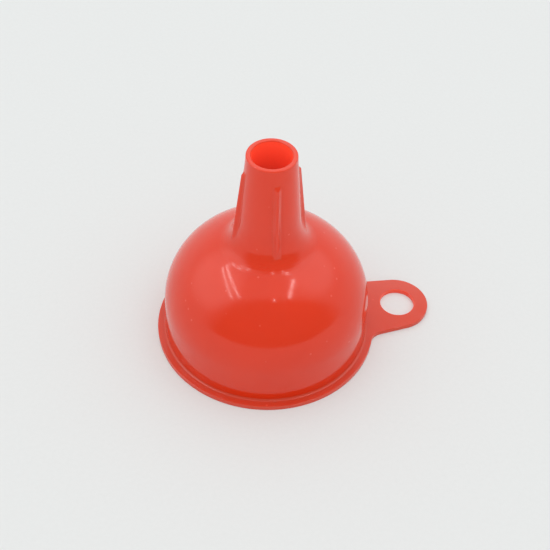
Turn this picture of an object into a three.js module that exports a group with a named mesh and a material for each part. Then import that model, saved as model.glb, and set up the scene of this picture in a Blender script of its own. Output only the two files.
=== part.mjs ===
// Small household funnel, one injection moulding in glossy red plastic.
// It stands on its wide rim with the spout pointing up (+Z); the hanging tab points along +X.
// Units are millimetres. The XZ plane is the funnel's mirror plane.
// The moulding is laid out as its named features, which meet face to face with nothing left out.
import * as THREE from 'three';

// ---- driving dimensions ----
const RIM_RADIUS = 30.0;          // outer edge of the rim flange
const FLANGE_THICKNESS = 1.3;     // rim flange and tab
const WALL = 1.3;                 // bowl and spout wall
const BOWL_RADIUS = 27.75;        // outside of the upright lower wall
const WALL_FOOT_FILLET = 0.6;     // between the flange top and the bowl wall
const SKIRT_TOP = 11.4;           // height where the upright wall turns into the dome
const DOME_RISE = 23.95;          // outside height of the dome's ellipse above SKIRT_TOP
const FUNNEL_HEIGHT = 62.2;       // rim face to spout mouth
const MOUTH_RADIUS = 6.45;        // outside of the spout at its mouth
const SPOUT_TAPER = 0.08;         // radius gained per millimetre down from the mouth
const TIP_LENGTH = 4.6;           // plain end of the spout, above the ribs
const LIP_ROUND = 0.3;            // rounded edges of the mouth
const FOOT_TOP = 43.0;            // height where the spout's straight side ends and its foot begins
const FOOT_REACH = 11.4;          // radius where the foot's flare would meet the dome in a corner
const FLARE_TILT = 32;            // degrees from upright of the foot's flare, at the dome
const ROOT_FILLET = 2.2;          // how far that corner's rounding reaches up the flare and out on the dome
const RIB_WIDTH = 1.2;
const RIB_COUNT = 4;
const RIB_TOP_RADIUS = 7.45;      // outer edge of a rib at its top end
const RIB_SLOPE = 0.112;          // radius gained per millimetre down the rib's outer edge
const RIB_TOP_SLANT = 0.8;        // drop of the slanted top end
const RIB_SEAT_GAP = 0.02;        // between a rib's flat back and the round spout
const TAB_CENTRE = 38.0;          // funnel axis to the centre of the tab's round end
const TAB_END_RADIUS = 9.0;
const TAB_HOLE_CENTRE = 38.35;    // funnel axis to the centre of the hole
const TAB_HOLE_RADIUS = 4.8;
const TAB_ROOT_FILLET = 4.2;      // in plan, between the tab's sides and the rim

// ---- resolution ----
const SEGMENTS = 60;              // facets round the funnel's axis
const TAB_ROOT_STEPS = 4;         // facets of the rim on each side of the tab's centre line
const DOME_STEPS = 10;
const FOOT_STEPS = 6;
const ROUND_STEPS = 3;
const TAB_ARC_SEGMENTS = 8;

// The origin is the middle of the base rectangle, so the funnel's axis stands to its -X side.
const TAB_REACH = TAB_CENTRE + TAB_END_RADIUS;
const AXIS_X = (RIM_RADIUS - TAB_REACH) / 2;

const plastic = () => new THREE.MeshStandardMaterial({ color: 0xd9372a, roughness: 0.22, metalness: 0 });

// ---- profile, as [radius, height] ----
const SPOUT_BASE = FUNNEL_HEIGHT - TIP_LENGTH;
const FLANGE_TOP = FLANGE_THICKNESS + WALL_FOOT_FILLET;

function point(radius, height) {
  return new THREE.Vector2(radius, height);
}

// Outside radius of the spout's straight side; the inside is this less WALL.
function spoutRadius(height) {
  return MOUTH_RADIUS + SPOUT_TAPER * (FUNNEL_HEIGHT - height);
}

// A point on the dome's ellipse, set in from the outside by inset.
function domePoint(radius, inset) {
  const share = radius / (BOWL_RADIUS - inset);
  return point(radius, SKIRT_TOP + (DOME_RISE - inset) * Math.sqrt(1 - share * share));
}

// Slope of the dome's ellipse at a radius, as height per radius.
function domeSlope(radius, inset) {
  const share = radius / (BOWL_RADIUS - inset);
  return -((DOME_RISE - inset) / (BOWL_RADIUS - inset)) * share / Math.sqrt(1 - share * share);
}

// The corner between the foot's flare and the dome, set in square to both by inset.
function footCorner(inset) {
  const flare = THREE.MathUtils.degToRad(FLARE_TILT);
  const slope = domeSlope(FOOT_REACH, 0);
  const flareNormal = point(Math.cos(flare), Math.sin(flare));
  const domeNormal = point(-slope, 1).normalize();
  const mitre = flareNormal.clone().add(domeNormal).divideScalar(1 + flareNormal.dot(domeNormal));
  return domePoint(FOOT_REACH, 0).addScaledVector(mitre, -inset);
}

// Where the rounding of that corner runs out on the dome.
function footEdge(inset) {
  return domePoint(footCorner(inset).x + ROOT_FILLET, inset);
}

// The dome from the upright wall up to the spout's foot.
function domeArc(inset) {
  const outer = BOWL_RADIUS - inset;
  const end = Math.acos(footEdge(inset).x / outer);
  const points = [];
  for (let i = 0; i < DOME_STEPS; i++) {
    const angle = end * i / DOME_STEPS;
    points.push(point(outer * Math.cos(angle), SKIRT_TOP + (DOME_RISE - inset) * Math.sin(angle)));
  }
  points.push(footEdge(inset));
  return points;
}

// The foot of the spout: a rounded corner out of the dome, then a flare that bends into the
// spout's straight side.
function footArc(inset) {
  const lean = Math.tan(THREE.MathUtils.degToRad(FLARE_TILT));
  const corner = footCorner(inset);
  const rise = ROOT_FILLET * Math.cos(Math.atan(lean));
  const flareStart = point(corner.x - lean * rise, corner.y + rise);
  const root = new THREE.QuadraticBezierCurve(footEdge(inset), corner, flareStart);

  const top = point(spoutRadius(FOOT_TOP) - inset, FOOT_TOP);
  const kneeHeight = (corner.x + lean * corner.y - top.x - SPOUT_TAPER * top.y) / (lean - SPOUT_TAPER);
  const knee = point(top.x + SPOUT_TAPER * (top.y - kneeHeight), kneeHeight);
  const bend = new THREE.QuadraticBezierCurve(flareStart, knee, top);
  return [...root.getPoints(ROUND_STEPS).slice(0, -1), ...bend.getPoints(FOOT_STEPS)];
}

// Quarter circle about a centre, between two angles given in quarter turns.
function roundArc(centre, radius, from, to) {
  const points = [];
  for (let i = 0; i <= ROUND_STEPS; i++) {
    const angle = (from + (to - from) * i / ROUND_STEPS) * Math.PI / 2;
    points.push(point(centre.x + radius * Math.cos(angle), centre.y + radius * Math.sin(angle)));
  }
  return points;
}

// ---- solids ----

// Turns a closed outline, given anticlockwise, about the funnel's axis.
function revolve(outline) {
  const geometry = new THREE.LatheGeometry([...outline, outline[0].clone()], SEGMENTS);
  geometry.rotateX(Math.PI / 2);
  return geometry;
}

function rimFlange() {
  const inner = BOWL_RADIUS - WALL;
  const filletCentre = point(BOWL_RADIUS + WALL_FOOT_FILLET, FLANGE_TOP);
  return revolve([
    point(inner, 0),
    point(RIM_RADIUS, 0),
    point(RIM_RADIUS, FLANGE_THICKNESS),
    ...roundArc(filletCentre, WALL_FOOT_FILLET, 3, 2),
    point(inner, FLANGE_TOP),
  ]);
}

function bowlSkirt() {
  const inner = BOWL_RADIUS - WALL;
  return revolve([
    point(inner, FLANGE_TOP),
    point(BOWL_RADIUS, FLANGE_TOP),
    point(BOWL_RADIUS, SKIRT_TOP),
    point(inner, SKIRT_TOP),
  ]);
}

function bowlDome() {
  return revolve([...domeArc(0), ...domeArc(WALL).reverse()]);
}

function spoutFoot() {
  return revolve([...footArc(0), ...footArc(WALL).reverse()]);
}

function spoutTube() {
  const low = spoutRadius(FOOT_TOP);
  const high = spoutRadius(SPOUT_BASE);
  return revolve([
    point(low - WALL, FOOT_TOP),
    point(low, FOOT_TOP),
    point(high, SPOUT_BASE),
    point(high - WALL, SPOUT_BASE),
  ]);
}

function spoutTip() {
  const low = spoutRadius(SPOUT_BASE);
  const lipHeight = FUNNEL_HEIGHT - LIP_ROUND;
  return revolve([
    point(low - WALL, SPOUT_BASE),
    point(low, SPOUT_BASE),
    ...roundArc(point(MOUTH_RADIUS - LIP_ROUND, lipHeight), LIP_ROUND, 0, 1),
    ...roundArc(point(MOUTH_RADIUS - WALL + LIP_ROUND, lipHeight), LIP_ROUND, 1, 2),
  ]);
}

// Side view of a rib: its back follows the spout and the foot, and its straight outer edge runs
// down until it sinks into the foot.
function ribOutline() {
  const outerAt = (height) => RIB_TOP_RADIUS + RIB_SLOPE * (SPOUT_BASE - height);
  const seated = (p) => point(p.x + RIB_SEAT_GAP, p.y + RIB_SEAT_GAP);
  const seat = footArc(0).reverse().map(seated);
  const buried = seat.findIndex((p) => p.x > outerAt(p.y));
  const above = seat[buried - 1];
  const below = seat[buried];
  const depth = (p) => outerAt(p.y) - p.x;
  const toe = above.clone().lerp(below, depth(above) / (depth(above) - depth(below)));
  return [
    seated(point(spoutRadius(SPOUT_BASE), SPOUT_BASE)),
    ...seat.slice(0, buried),
    toe,
    point(outerAt(SPOUT_BASE - RIB_TOP_SLANT), SPOUT_BASE - RIB_TOP_SLANT),
  ];
}

function spoutRib() {
  const shape = new THREE.Shape(ribOutline());
  const geometry = new THREE.ExtrudeGeometry(shape, { depth: RIB_WIDTH, bevelEnabled: false });
  geometry.translate(0, 0, -RIB_WIDTH / 2);
  geometry.rotateX(Math.PI / 2);
  return geometry;
}

// Plan of the tab: the rim's own facets at the root, a fillet, a straight side and a round end.
function tabPlan() {
  const step = 2 * Math.PI / SEGMENTS;
  const rootAngle = TAB_ROOT_STEPS * step;
  const filletX = (RIM_RADIUS + TAB_ROOT_FILLET) * Math.cos(rootAngle);
  const filletY = (RIM_RADIUS + TAB_ROOT_FILLET) * Math.sin(rootAngle);
  const spread = Math.hypot(filletX - TAB_CENTRE, filletY);
  const towards = Math.atan2(filletY, filletX - TAB_CENTRE);
  const sideNormal = towards - Math.acos((TAB_END_RADIUS + TAB_ROOT_FILLET) / spread);

  const plan = new THREE.Shape();
  plan.moveTo(RIM_RADIUS * Math.cos(rootAngle), RIM_RADIUS * Math.sin(rootAngle));
  for (let i = TAB_ROOT_STEPS - 1; i >= -TAB_ROOT_STEPS; i--) {
    plan.lineTo(RIM_RADIUS * Math.cos(i * step), RIM_RADIUS * Math.sin(i * step));
  }
  plan.absarc(filletX, -filletY, TAB_ROOT_FILLET, Math.PI - rootAngle, Math.PI - sideNormal, true);
  plan.absarc(TAB_CENTRE, 0, TAB_END_RADIUS, -sideNormal, sideNormal, false);
  plan.absarc(filletX, filletY, TAB_ROOT_FILLET, Math.PI + sideNormal, Math.PI + rootAngle, true);

  const hole = new THREE.Path();
  hole.absarc(TAB_HOLE_CENTRE, 0, TAB_HOLE_RADIUS, 0, 2 * Math.PI, true);
  plan.holes.push(hole);
  return plan;
}

function hangTab() {
  return new THREE.ExtrudeGeometry(tabPlan(), {
    depth: FLANGE_THICKNESS,
    bevelEnabled: false,
    curveSegments: TAB_ARC_SEGMENTS,
  });
}

// ---- assembly ----
const funnel = new THREE.Group();
funnel.position.x = AXIS_X;

function add(name, geometry, turn = 0) {
  const mesh = new THREE.Mesh(geometry, plastic());
  mesh.name = name;
  mesh.rotation.z = turn;
  funnel.add(mesh);
}

add('rim_flange', rimFlange());
add('hang_tab', hangTab());
add('bowl_skirt', bowlSkirt());
add('bowl_dome', bowlDome());
add('spout_foot', spoutFoot());
add('spout_tube', spoutTube());
add('spout_tip', spoutTip());
for (let i = 0; i < RIB_COUNT; i++) {
  add(`spout_rib_${i + 1}`, spoutRib(), i * 2 * Math.PI / RIB_COUNT);
}

export default funnel;
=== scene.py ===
"""Looks for a small household funnel: one glossy red plastic moulding, standing on its rim.

The CAD frame gives every position. The skin is remade here at high resolution, with the rounded
edges and fillets of the real moulding, in six pieces that meet along natural lines of the shape.
Lengths are metres, angles degrees. Plan and profile points are measured from the funnel's axis.
"""

import math

import bmesh
import bpy
from mathutils import Matrix, Vector


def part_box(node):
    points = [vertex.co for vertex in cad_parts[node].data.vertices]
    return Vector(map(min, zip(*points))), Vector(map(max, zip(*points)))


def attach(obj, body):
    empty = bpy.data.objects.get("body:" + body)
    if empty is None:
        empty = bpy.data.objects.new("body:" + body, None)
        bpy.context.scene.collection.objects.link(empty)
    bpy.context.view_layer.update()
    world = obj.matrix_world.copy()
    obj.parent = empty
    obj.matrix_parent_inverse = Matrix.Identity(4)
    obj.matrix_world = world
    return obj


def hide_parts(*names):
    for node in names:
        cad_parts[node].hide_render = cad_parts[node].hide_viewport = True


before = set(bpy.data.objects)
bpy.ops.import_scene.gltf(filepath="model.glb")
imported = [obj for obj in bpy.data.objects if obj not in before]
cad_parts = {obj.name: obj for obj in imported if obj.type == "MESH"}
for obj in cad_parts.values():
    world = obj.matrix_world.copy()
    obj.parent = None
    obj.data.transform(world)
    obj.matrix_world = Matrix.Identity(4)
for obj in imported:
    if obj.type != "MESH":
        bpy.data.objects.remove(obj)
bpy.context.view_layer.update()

# ---- driving dimensions that the frame's boxes don't give ----
WALL = 0.0013
FLANGE_THICKNESS = 0.0013
DOME_RISE = 0.02395               # outside height of the dome's ellipse above the upright wall
FOOT_REACH = 0.0114               # radius where the foot's flare would meet the dome in a corner
FLARE_TILT = 32                   # from upright
ROOT_FILLET = 0.0022              # how far that corner's rounding reaches both ways
LIP_ROUND = 0.0003
EDGE_ROUND = 0.00022              # broken upper edges of the flange, tab and hole
FOOT_EDGE_ROUND = 0.00005         # their lower edges, which stand on the table
RIB_REACH = 0.0012                # half a rib's width where it runs out on the spout
RIB_TOP_RADIUS = 0.00745          # outer edge of a rib at its top end
RIB_SLOPE = 0.112                 # radius gained per length down the rib's outer edge
RIB_TOP_SLANT = 0.0008            # length over which a rib's top end rises off the spout
RIB_LIFT = 0.00001                # clear of the spout's skin at a rib's thin sides
RIB_SINK = 0.0003                 # how far a rib reaches into the spout behind it
TAB_END_RADIUS = 0.009
TAB_HOLE_CENTRE = 0.03835         # funnel axis to the centre of the hole
TAB_HOLE_RADIUS = 0.0048
TAB_ROOT_FILLET = 0.0042
TAB_ROOT_ANGLE = 24               # half the rim's arc that the tab and its fillets take up

# ---- painted glow, standing for the light that soaks through, as a share of that in the bore just below the lip ----
HOLE_GLOW = 0.4
LIP_GLOW = 0.15
SKIN_GLOW = 0.1                   # reached at the foot's top, and kept up the outside, where it paints the dome and spout lighter towards the top
# painted light that lightens the ribs and offsets the shade at their roots
RIB_GLOW = 0.1

# ---- resolution ----
SIDES = 192                       # round the funnel's axis
HOLD = 0.00005                    # keeps a flat flat beside a rounded edge
LONG_SPAN = 8 * HOLD
DOME_STEPS = 48
BEND_STEPS = 20
ROUND_STEPS = 6
RIB_STEPS = 48
RIB_SECTION_STEPS = 10
TAB_STEPS = 64                    # round the tab's end, and round its hole
TAB_FILLET_STEPS = 14
SHARP_ANGLE = 60                  # edges that bend more than this aren't smoothed over

# ---- dimensions from the frame ----
rim_low, rim_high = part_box("rim_flange")
skirt_low, skirt_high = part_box("bowl_skirt")
tube_low, tube_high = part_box("spout_tube")
tip_low, tip_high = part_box("spout_tip")
tab_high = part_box("hang_tab")[1]

AXIS_X = (rim_low.x + rim_high.x) / 2
RIM_RADIUS = (rim_high.x - rim_low.x) / 2
WALL_FOOT = rim_high.z
BOWL_RADIUS = (skirt_high.x - skirt_low.x) / 2
SKIRT_TOP = skirt_high.z
FOOT_TOP = tube_low.z
FOOT_TOP_RADIUS = (tube_high.x - tube_low.x) / 2
TIP_BASE = tip_low.z
TIP_BASE_RADIUS = (tip_high.x - tip_low.x) / 2
MOUTH_HEIGHT = tip_high.z
TAPER = (FOOT_TOP_RADIUS - TIP_BASE_RADIUS) / (TIP_BASE - FOOT_TOP)
TAB_CENTRE = tab_high.x - AXIS_X - TAB_END_RADIUS


# ---- profiles, as (radius, height) ----

def spout_radius(height):
    return TIP_BASE_RADIUS - TAPER * (height - TIP_BASE)


def dome_point(radius, inset):
    share = radius / (BOWL_RADIUS - inset)
    return Vector((radius, SKIRT_TOP + (DOME_RISE - inset) * math.sqrt(1 - share * share)))


def dome_slope(radius):
    share = radius / BOWL_RADIUS
    return -DOME_RISE / BOWL_RADIUS * share / math.sqrt(1 - share * share)


def bezier(start, control, end, steps):
    """A quadratic curve from start to end, without its end point."""
    points = []
    for i in range(steps):
        t = i / steps
        points.append((1 - t) ** 2 * start + 2 * t * (1 - t) * control + t * t * end)
    return points


def arc(centre, radius, start, end, steps):
    """Points on a circle, from start to end degrees, both included."""
    points = []
    for i in range(steps + 1):
        angle = math.radians(start + (end - start) * i / steps)
        points.append(centre + radius * Vector((math.cos(angle), math.sin(angle))))
    return points


def foot_corner(inset):
    """Where the foot's flare meets the dome, set in square to both."""
    flare = math.radians(FLARE_TILT)
    flare_normal = Vector((math.cos(flare), math.sin(flare)))
    dome_normal = Vector((-dome_slope(FOOT_REACH), 1)).normalized()
    mitre = (flare_normal + dome_normal) / (1 + flare_normal.dot(dome_normal))
    return dome_point(FOOT_REACH, 0) - inset * mitre


def wall_side(inset):
    """One side of the bowl and spout, from the wall's foot up to where the lip's rounding starts."""
    corner = foot_corner(inset)
    dome_end = dome_point(corner.x + ROOT_FILLET, inset)
    reach = BOWL_RADIUS - inset
    turn = math.acos(dome_end.x / reach)
    points = [Vector((reach, WALL_FOOT))]
    for i in range(DOME_STEPS):
        angle = turn * i / DOME_STEPS
        rise = (DOME_RISE - inset) * math.sin(angle)
        points.append(Vector((reach * math.cos(angle), SKIRT_TOP + rise)))

    lean = math.tan(math.radians(FLARE_TILT))
    rise = ROOT_FILLET * math.cos(math.atan(lean))
    flare_start = corner + Vector((-lean * rise, rise))
    points += bezier(dome_end, corner, flare_start, ROUND_STEPS)

    top = Vector((FOOT_TOP_RADIUS - inset, FOOT_TOP))
    knee_height = (corner.x + lean * corner.y - top.x - TAPER * top.y) / (lean - TAPER)
    knee = Vector((top.x + TAPER * (top.y - knee_height), knee_height))
    points += bezier(flare_start, knee, top, BEND_STEPS)
    points.append(top)
    return points


def shell_outline():
    """The bowl and spout, cut through on one side: up the outside, over the lip, down the inside."""
    lip_centre = MOUTH_HEIGHT - LIP_ROUND
    mouth = spout_radius(MOUTH_HEIGHT)
    outer_lip = arc(Vector((mouth - LIP_ROUND, lip_centre)), LIP_ROUND, 0, 90, ROUND_STEPS)
    inner_lip = arc(Vector((mouth - WALL + LIP_ROUND, lip_centre)), LIP_ROUND, 90, 180, ROUND_STEPS)
    return wall_side(0) + outer_lip + inner_lip + wall_side(WALL)[::-1]


def rim_seat_profile():
    """The inner side of the rim, from the flange's top over the fillet and down to its bottom."""
    fillet = WALL_FOOT - FLANGE_THICKNESS
    inner = BOWL_RADIUS - WALL
    fillet_centre = Vector((BOWL_RADIUS + fillet, WALL_FOOT))
    edge_centre = Vector((inner + EDGE_ROUND, EDGE_ROUND))
    return [
        Vector((BOWL_RADIUS + fillet + HOLD, FLANGE_THICKNESS)),
        *arc(fillet_centre, fillet, 270, 180, ROUND_STEPS),
        Vector((inner, WALL_FOOT)),
        *arc(edge_centre, EDGE_ROUND, 180, 270, ROUND_STEPS),
        Vector((inner + EDGE_ROUND + HOLD, 0)),
    ]


def plate_edge_profile():
    """A plate's edge as (distance in from the edge, height), bottom to top."""
    low = arc(Vector((FOOT_EDGE_ROUND, FOOT_EDGE_ROUND)), FOOT_EDGE_ROUND, 270, 180, ROUND_STEPS)
    high = arc(Vector((EDGE_ROUND, FLANGE_THICKNESS - EDGE_ROUND)), EDGE_ROUND, 180, 90, ROUND_STEPS)
    return [
        Vector((FOOT_EDGE_ROUND + HOLD, 0)),
        *low,
        *high,
        Vector((EDGE_ROUND + HOLD, FLANGE_THICKNESS)),
    ]


def held(points):
    """Adds a point just inside each end of every long straight span, so its shading stays flat."""
    out = [points[0]]
    for a, b in zip(points, points[1:]):
        span = b - a
        if span.length > LONG_SPAN:
            out += [a + span.normalized() * HOLD, b - span.normalized() * HOLD]
        out.append(b)
    return out


# ---- meshes ----

def ring(mesh, radius, height):
    verts = []
    for i in range(SIDES):
        angle = 2 * math.pi * i / SIDES
        place = (AXIS_X + radius * math.cos(angle), radius * math.sin(angle), height)
        verts.append(mesh.verts.new(place))
    return verts


def band(mesh, low, high):
    """A strip of quads between two closed loops of vertices."""
    count = len(low)
    for i in range(count):
        j = (i + 1) % count
        mesh.faces.new((low[i], low[j], high[j], high[i]))


def bands(mesh, loops, closed=False):
    for low, high in zip(loops, loops[1:]):
        band(mesh, low, high)
    if closed:
        band(mesh, loops[-1], loops[0])


def loop_edges(mesh, loop):
    return [mesh.edges.get((loop[i - 1], loop[i])) for i in range(len(loop))]


def finish_piece(mesh, name, material, *nodes):
    """Makes an object of a bmesh, smooth but for its hidden square seats, and puts it on the frame."""
    bmesh.ops.recalc_face_normals(mesh, faces=mesh.faces)
    data = bpy.data.meshes.new(name)
    mesh.to_mesh(data)
    mesh.free()
    data.shade_smooth()
    data.set_sharp_from_angle(angle=math.radians(SHARP_ANGLE))
    data.materials.append(material)
    piece = bpy.data.objects.new(name, data)
    bpy.context.scene.collection.objects.link(piece)
    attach(piece, "root")
    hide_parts(*nodes)


def shell_painted_glow(point):
    """Painted glow: up the inside of the spout to its full value below the lip, and slight up the
    outside, where it lights the dome and spout more towards the top.
    """
    if point.y > MOUTH_HEIGHT - LIP_ROUND:
        return LIP_GLOW
    if point.y > FOOT_TOP and point.x < spout_radius(point.y) - WALL / 2:
        return (point.y - FOOT_TOP) / (MOUTH_HEIGHT - FOOT_TOP)
    return SKIN_GLOW * max(0, min(1, (point.y - SKIRT_TOP) / (FOOT_TOP - SKIRT_TOP)))


def make_shell(material):
    mesh = bmesh.new()
    glow = mesh.verts.layers.float.new("glow")
    loops = []
    for point in held(shell_outline()):
        loops.append(ring(mesh, point.x, point.y))
        # painted glow on each ring of the shell
        for vert in loops[-1]:
            vert[glow] = shell_painted_glow(point)
    bands(mesh, loops, closed=True)
    nodes = ("bowl_skirt", "bowl_dome", "spout_foot", "spout_tube", "spout_tip")
    finish_piece(mesh, "bowl_and_spout", material, *nodes)


def tab_and_rim_plan():
    """The flange's outer edge and the tab's, anticlockwise, as (point, outward direction)."""
    root = math.radians(TAB_ROOT_ANGLE)
    fillet = (RIM_RADIUS + TAB_ROOT_FILLET) * Vector((math.cos(root), math.sin(root)))
    end = Vector((TAB_CENTRE, 0))
    between = fillet - end
    lean = math.acos((TAB_END_RADIUS + TAB_ROOT_FILLET) / between.length)
    side = math.degrees(math.atan2(between.y, between.x) - lean)
    rim_sweep = 360 - 2 * TAB_ROOT_ANGLE
    rim_steps = round(SIDES * rim_sweep / 360)
    arcs = (
        (Vector((0, 0)), RIM_RADIUS, TAB_ROOT_ANGLE, TAB_ROOT_ANGLE + rim_sweep, rim_steps, 1),
        (Vector((fillet.x, -fillet.y)), TAB_ROOT_FILLET, 180 - TAB_ROOT_ANGLE, 180 - side,
         TAB_FILLET_STEPS, -1),
        (end, TAB_END_RADIUS, -side, side, TAB_STEPS, 1),
        (fillet, TAB_ROOT_FILLET, 180 + side, 180 + TAB_ROOT_ANGLE, TAB_FILLET_STEPS, -1),
    )
    plan = []
    for centre, radius, start, stop, steps, facing in arcs:
        for point in arc(centre, radius, start, stop, steps):
            if plan and (plan[-1][0] - point).length < HOLD:
                continue
            plan.append((point, (point - centre).normalized() * facing))
    if (plan[0][0] - plan[-1][0]).length < HOLD:
        plan.pop()
    return plan


def make_rim_and_tab(material):
    mesh = bmesh.new()
    hole_centre = Vector((TAB_HOLE_CENTRE, 0))
    hole = [(p, (hole_centre - p).normalized())
            for p in arc(hole_centre, TAB_HOLE_RADIUS, 0, 360, TAB_STEPS)[:-1]]
    glow = mesh.verts.layers.float.new("glow")
    tops = []
    bottoms = []
    for plan in (tab_and_rim_plan(), hole):
        loops = []
        for inward, height in held(plate_edge_profile()):
            places = [p - n * inward for p, n in plan]
            loops.append([mesh.verts.new((AXIS_X + p.x, p.y, height)) for p in places])
            # Painted light on the hole's wall, standing for light through the plate
            if plan is hole and inward < EDGE_ROUND:
                for vert in loops[-1]:
                    vert[glow] = HOLE_GLOW
        bands(mesh, loops)
        bottoms.append(loops[0])
        tops.append(loops[-1])
    seat = [ring(mesh, p.x, p.y) for p in held(rim_seat_profile())]
    bands(mesh, seat)
    tops.append(seat[0])
    bottoms.append(seat[-1])
    for loops in (tops, bottoms):
        edges = [edge for loop in loops for edge in loop_edges(mesh, loop)]
        bmesh.ops.triangle_fill(mesh, edges=edges, use_beauty=True, normal=(0, 0, 1))
    finish_piece(mesh, "rim_and_tab", material, "rim_flange", "hang_tab")


def surface_radius(height):
    """Outside radius of the spout or its foot at a height."""
    if height >= FOOT_TOP:
        return spout_radius(height)
    points = wall_side(0)
    for low, high in zip(points, points[1:]):
        if low.y <= height <= high.y:
            return low.x + (high.x - low.x) * (height - low.y) / (high.y - low.y)
    return points[0].x


def rib_section(surface, outer):
    """A rib's level cut, a rounded ridge, as (offset from its middle, radius) from side to side."""
    half = [Vector((RIB_REACH, math.sqrt(surface ** 2 - RIB_REACH ** 2) - RIB_SINK))]
    for i in range(RIB_SECTION_STEPS + 1):
        share = i / RIB_SECTION_STEPS
        across = RIB_REACH * (1 - share)
        rise = (outer - surface) * (1 - math.cos(math.pi * share)) / 2
        half.append(Vector((across, math.sqrt(surface ** 2 - across ** 2) + RIB_LIFT + rise)))
    half[-1].y -= RIB_LIFT
    return half + [Vector((-p.x, p.y)) for p in half[-2::-1]]


def rib_edge(height):
    """Radius of a rib's straight outer edge."""
    return RIB_TOP_RADIUS + RIB_SLOPE * (TIP_BASE - height)


def rib_toe():
    """Height where a rib's outer edge sinks into the foot."""
    height = FOOT_TOP
    while surface_radius(height) < rib_edge(height):
        height -= HOLD
    return height


def make_rib(number, azimuth, material):
    """A slim rib lofted from level cuts, which sinks into the spout at both ends."""
    low = rib_toe() - RIB_SINK
    turn = Matrix.Rotation(math.radians(azimuth), 3, "Z")
    mesh = bmesh.new()
    loops = []
    for i in range(RIB_STEPS + 1):
        height = low + (TIP_BASE - low) * (1 - math.cos(math.pi * i / RIB_STEPS)) / 2
        surface = surface_radius(height)
        slant = (rib_edge(height) - surface) * (TIP_BASE - height) / RIB_TOP_SLANT
        outer = max(surface - RIB_SINK, min(rib_edge(height), surface + slant - HOLD))
        places = [turn @ Vector((p.y, p.x, height)) for p in rib_section(surface, outer)]
        loops.append([mesh.verts.new(p + Vector((AXIS_X, 0, 0))) for p in places])
    bands(mesh, loops)
    mesh.faces.new(loops[0])
    mesh.faces.new(loops[-1])
    # Painted glow over the whole rib, which lightens it against the shade at its roots
    glow = mesh.verts.layers.float.new("glow")
    for vert in mesh.verts:
        vert[glow] = RIB_GLOW
    name = f"spout_rib_{number}"
    finish_piece(mesh, f"{name}_skin", material, name)


# ---- materials ----
# The two tones of the flow clouds. The rim and tab's tones are a little greyer and paler, a painted
# sheen that stands for the pale reflection on the flange.
PLASTIC_TONES = (0.74, 0.034, 0.006), (0.82, 0.044, 0.010)
SHEEN_PAINTED_TONES = (0.68, 0.056, 0.024), (0.75, 0.068, 0.030)
SPECK_TONE = (0.84, 0.09, 0.05)
GLOW_PAINTED_TONE = (0.95, 0.09, 0.04)    # painted glow's paler colour, where light soaks through in full
# painted glow's own light, given off where the glow is full
GLOW_PAINTED_LIGHT = (0.28, 0.030, 0.015)
SPECK_CORE, SPECK_RIM = 0.08, 0.16    # distances from a speck's middle, in speck cells
RARE = 0.76                       # only the cells brighter than this hold a speck
GLOSSIEST, DULLEST = 0.08, 0.15   # roughness
CARD_TONES = (0.618, 0.628, 0.625), (0.658, 0.668, 0.665)
CARD_GLOW = (0.94, 1.0, 0.98, 1)


def new_material(name):
    material = bpy.data.materials.new(name)
    material.use_nodes = True
    return material, material.node_tree, material.node_tree.nodes["Principled BSDF"]


def feed(tree, socket, value):
    """Links another node's output to a socket, or sets the socket's own value."""
    if isinstance(value, bpy.types.NodeSocket):
        tree.links.new(value, socket)
    else:
        socket.default_value = value


def add(tree, kind, settings=None, **inputs):
    """Adds a node, sets its properties, and feeds its inputs by name."""
    made = tree.nodes.new(kind)
    for key, value in (settings or {}).items():
        setattr(made, key, value)
    for key, value in inputs.items():
        feed(tree, made.inputs[key.replace("_", " ")], value)
    return made


def maths(tree, operation, first, second):
    """The result of a Math node on two numbers or outputs."""
    made = add(tree, "ShaderNodeMath", {"operation": operation})
    feed(tree, made.inputs[0], first)
    feed(tree, made.inputs[1], second)
    return made.outputs["Value"]


def blended(tree, factor, first, second):
    """The output of a mix of two colours, given as numbers or as outputs."""
    mix = add(tree, "ShaderNodeMix", {"data_type": "RGBA"})
    share, low, high = [socket for socket in mix.inputs if socket.enabled]
    feed(tree, share, factor)
    for socket, value in ((low, first), (high, second)):
        feed(tree, socket, value if isinstance(value, bpy.types.NodeSocket) else (*value, 1))
    return next(socket for socket in mix.outputs if socket.enabled)


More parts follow.
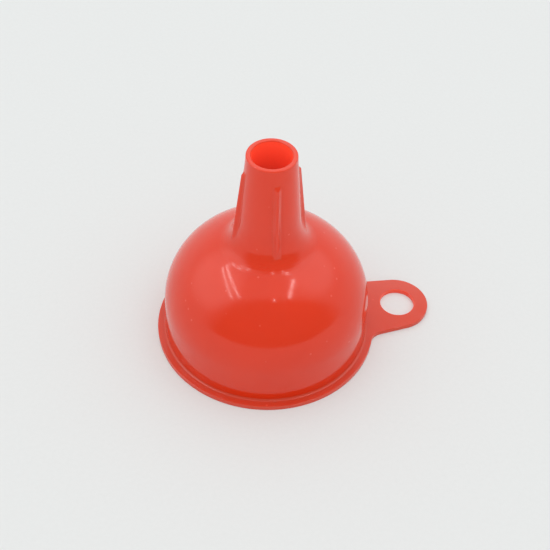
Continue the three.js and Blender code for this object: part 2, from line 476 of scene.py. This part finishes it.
def red_plastic(name, tones):
    """Glossy injection-moulded polypropylene: flow clouds between two tones, rare pale specks,
    haze drawn out along the mould's pull, and a fine ripple.

    A piece's glow is painted light: it makes its thin parts paler and gives them a weak light of
    their own, standing for light that soaks through them, and lightens the upper outside and ribs.
    """
    material, tree, shader = new_material(name)
    place = add(tree, "ShaderNodeTexCoord").outputs["Object"]
    clouds = add(tree, "ShaderNodeTexNoise", Vector=place, Scale=70, Detail=3, Roughness=0.55)
    clouded = blended(tree, clouds.outputs["Fac"], *tones)
    cells = add(tree, "ShaderNodeTexVoronoi", Vector=place, Scale=420)
    near = add(tree, "ShaderNodeMapRange", Value=cells.outputs["Distance"],
               From_Min=SPECK_RIM, From_Max=SPECK_CORE)
    chosen = maths(tree, "GREATER_THAN", cells.outputs["Color"], RARE)
    speck = maths(tree, "MULTIPLY", near.outputs["Result"], chosen)
    skin = blended(tree, speck, clouded, SPECK_TONE)
    glow = add(tree, "ShaderNodeAttribute", {"attribute_name": "glow"}).outputs["Fac"]
    # Painted glow: a paler colour and a weak emission where the glow attribute is high
    feed(tree, shader.inputs["Base Color"], blended(tree, glow, skin, GLOW_PAINTED_TONE))
    feed(tree, shader.inputs["Emission Color"], blended(tree, glow, (0, 0, 0), GLOW_PAINTED_LIGHT))
    shader.inputs["Emission Strength"].default_value = 1.0

    drawn = add(tree, "ShaderNodeMapping", Vector=place, Scale=(1, 1, 0.25))
    haze = add(tree, "ShaderNodeTexNoise", Vector=drawn.outputs["Vector"], Scale=260, Detail=5,
               Roughness=0.6)
    gloss = add(tree, "ShaderNodeMapRange", Value=haze.outputs["Fac"],
                From_Min=0.3, From_Max=0.7, To_Min=GLOSSIEST, To_Max=DULLEST)
    feed(tree, shader.inputs["Roughness"], gloss.outputs["Result"])

    ripple = add(tree, "ShaderNodeTexNoise", Vector=place, Scale=420, Detail=2, Roughness=0.5)
    bump = add(tree, "ShaderNodeBump", Height=ripple.outputs["Fac"], Strength=0.12, Distance=0.00003)
    feed(tree, shader.inputs["Normal"], bump.outputs["Normal"])

    shader.inputs["IOR"].default_value = 1.49
    shader.inputs["Subsurface Weight"].default_value = 0.12
    shader.inputs["Subsurface Radius"].default_value = (1.0, 0.08, 0.04)
    shader.inputs["Subsurface Scale"].default_value = 0.002
    return material


def pale_floor():
    """Matt card on a light table, whose faint cool glow offsets the red light off the funnel."""
    material, tree, shader = new_material("pale_matt_card")
    place = add(tree, "ShaderNodeTexCoord").outputs["Object"]
    fibres = add(tree, "ShaderNodeTexNoise", Vector=place, Scale=900, Detail=4, Roughness=0.6)
    feed(tree, shader.inputs["Base Color"], blended(tree, fibres.outputs["Fac"], *CARD_TONES))
    bump = add(tree, "ShaderNodeBump", Height=fibres.outputs["Fac"], Strength=0.2, Distance=0.0001)
    feed(tree, shader.inputs["Normal"], bump.outputs["Normal"])
    shader.inputs["Roughness"].default_value = 0.9
    shader.inputs["Emission Color"].default_value = CARD_GLOW
    shader.inputs["Emission Strength"].default_value = 0.16
    return material


# ---- studio ----
VIEW_AZIMUTH = -14.4
VIEW_ELEVATION = 46.22
VIEW_ROLL = 2.57
VIEW_DISTANCE = 0.330
VIEW_OFFSET = (0.00265, 0.01385)  # right and up in the picture, from the funnel's axis at the floor
LENS = 76.98                      # focal length, mm
SENSOR = 36                       # width, mm
FLOOR_RADIUS = 3.0
FLOOR_SIDES = 96
TENT_WHITE = (0.90, 0.90, 0.90)
TENT_FRONT = (0.22, 0.22, 0.22)
DAYLIGHT_LOW = (0.5, 0.5, 0.5)    # from level and below
DAYLIGHT_HIGH = (1.25, 1.25, 1.25)    # from overhead
BACKDROP = (0.81, 0.83, 0.82)
LIGHT_HEIGHT = 1.5                # of the tubes and the front lamp above the floor


def direction(azimuth, elevation):
    """A direction from the funnel: azimuth 0 is straight away from the camera, 90 to its right."""
    bearing = math.radians(azimuth - VIEW_AZIMUTH)
    rise = math.radians(elevation)
    level = math.cos(rise)
    return Vector((math.sin(bearing) * level, math.cos(bearing) * level, math.sin(rise)))


# Areas of the sky: the direction of the middle, and the cosines of the angles to it at which the
# area starts and is full.
LOW_OPENING = (direction(175, -29), -0.08, 0.08)
FRONT_SIDE = (direction(168, 0), 0.1, 0.55)
LEFT_GLOW = (direction(-88, 40), 0.80, 0.97)
RIGHT_GLOW = (direction(68, 50), 0.84, 0.97)
OVERHEAD = (Vector((0, 0, 1)), 0, 1)
GLOW_STRENGTH = 0.75


def make_floor():
    mesh = bmesh.new()
    bmesh.ops.create_circle(mesh, cap_ends=True, segments=FLOOR_SIDES, radius=FLOOR_RADIUS)
    data = bpy.data.meshes.new("floor")
    mesh.to_mesh(data)
    mesh.free()
    data.materials.append(pale_floor())
    floor = bpy.data.objects.new("floor", data)
    bpy.context.scene.collection.objects.link(floor)


def make_camera():
    back = direction(180, VIEW_ELEVATION)
    right = direction(90, 0)
    up = back.cross(right)
    roll = math.radians(VIEW_ROLL)
    across = math.cos(roll) * right + math.sin(roll) * up
    above = math.cos(roll) * up - math.sin(roll) * right
    place = Vector((AXIS_X, 0, 0)) + back * VIEW_DISTANCE
    place += across * VIEW_OFFSET[0] + above * VIEW_OFFSET[1]
    data = bpy.data.cameras.new("camera")
    data.sensor_width = SENSOR
    data.lens = LENS
    data.clip_start = 0.01
    camera = bpy.data.objects.new("camera", data)
    turn = Matrix((across, above, back)).transposed().to_4x4()
    camera.matrix_world = Matrix.Translation(place) @ turn
    bpy.context.scene.collection.objects.link(camera)
    bpy.context.scene.camera = camera


def make_sky():
    """A white light tent with a dim open front and soft glows in its walls.

    Only reflections show it. Matt surfaces get daylight that is brightest overhead, and the
    camera sees a plain pale backdrop.
    """
    world = bpy.data.worlds.new("light_tent")
    bpy.context.scene.world = world
    world.use_nodes = True
    world.cycles.sampling_method = "NONE"
    tree = world.node_tree
    place = add(tree, "ShaderNodeTexCoord").outputs["Generated"]

    def inside(towards, least, most):
        """How far a direction is inside an area of the sky, 0 to 1."""
        facing = add(tree, "ShaderNodeVectorMath", {"operation": "DOT_PRODUCT"})
        feed(tree, facing.inputs[0], place)
        feed(tree, facing.inputs[1], towards)
        share = add(tree, "ShaderNodeMapRange", {"interpolation_type": "SMOOTHSTEP"},
                    Value=facing.outputs["Value"], From_Min=least, From_Max=most)
        return share.outputs["Result"]

    front = blended(tree, inside(*LOW_OPENING), TENT_WHITE, TENT_FRONT)
    walls = tree.nodes["Background"]
    feed(tree, walls.inputs["Color"], blended(tree, inside(*FRONT_SIDE), TENT_WHITE, front))
    reflected = walls.outputs["Background"]
    for area in (LEFT_GLOW, RIGHT_GLOW):
        strength = maths(tree, "MULTIPLY", inside(*area), GLOW_STRENGTH)
        glow = add(tree, "ShaderNodeBackground", Color=(1, 1, 1, 1), Strength=strength)
        both = add(tree, "ShaderNodeAddShader")
        feed(tree, both.inputs[0], reflected)
        feed(tree, both.inputs[1], glow.outputs["Background"])
        reflected = both.outputs["Shader"]

    daylight = add(tree, "ShaderNodeBackground",
                   Color=blended(tree, inside(*OVERHEAD), DAYLIGHT_LOW, DAYLIGHT_HIGH))
    backdrop = add(tree, "ShaderNodeBackground", Color=(*BACKDROP, 1))
    path = add(tree, "ShaderNodeLightPath")
    seen = daylight.outputs["Background"]
    views = (("Is Glossy Ray", reflected), ("Is Camera Ray", backdrop.outputs["Background"]))
    for ray, view in views:
        choice = add(tree, "ShaderNodeMixShader")
        feed(tree, choice.inputs[0], path.outputs[ray])
        feed(tree, choice.inputs[1], seen)
        feed(tree, choice.inputs[2], view)
        seen = choice.outputs["Shader"]
    feed(tree, tree.nodes["World Output"].inputs["Surface"], seen)


def make_panel(name, start, end, width, radiance):
    """A rectangular light facing the funnel, which only reflections show.

    The start and end are the middles of two opposite sides, as (right, away, up) from the funnel
    as the camera sees it. They and the width are in light heights.
    """
    right = direction(90, 0)
    away = direction(0, 0)
    ends = []
    for across, back, up in (start, end):
        ends.append(LIGHT_HEIGHT * (across * right + back * away + Vector((0, 0, up))))
    along = ends[1] - ends[0]
    middle = (ends[0] + ends[1]) / 2
    length = along.length
    along.normalize()
    facing = (middle - middle.dot(along) * along).normalized()
    data = bpy.data.lights.new(name, "AREA")
    data.shape = "RECTANGLE"
    data.size = length
    data.size_y = width * LIGHT_HEIGHT
    data.energy = radiance * math.pi * data.size * data.size_y
    lamp = bpy.data.objects.new(name, data)
    turn = Matrix((along, facing.cross(along), facing)).transposed().to_4x4()
    lamp.matrix_world = Matrix.Translation(middle + Vector((AXIS_X, 0, 0))) @ turn
    lamp.visible_camera = False
    lamp.visible_diffuse = False
    bpy.context.scene.collection.objects.link(lamp)


# ---- the scene ----
plastic = red_plastic("moulded_red_plastic", PLASTIC_TONES)
# The rim and tab's material carries a painted sheen in its tones
sheen_painted_plastic = red_plastic("sheen_painted_red_plastic", SHEEN_PAINTED_TONES)
make_shell(plastic)
make_rim_and_tab(sheen_painted_plastic)
for number in range(4):
    make_rib(number + 1, 90 * number, plastic)

make_floor()
make_camera()
make_sky()
make_panel("left_tube_outer", (-0.88, 0.27, 1), (-0.78, -0.56, 1), 0.03, 7)
make_panel("left_tube_inner", (-0.765, 0.27, 1), (-0.565, -0.54, 1), 0.025, 10)
make_panel("right_tube", (0.455, -0.06, 1), (0.46, -0.49, 1), 0.05, 8)
make_panel("back_window", (-0.84, 1, 0.765), (0.08, 1, 0.765), 0.44, 0.7)
make_panel("side_window", (0.08, 1, 0.90), (0.34, 1, 0.90), 0.20, 1.3)
make_panel("front_lamp", (0.14, -0.58, 1), (0.17, -0.58, 1), 0.03, 25)

bpy.context.scene.view_settings.view_transform = "Standard"
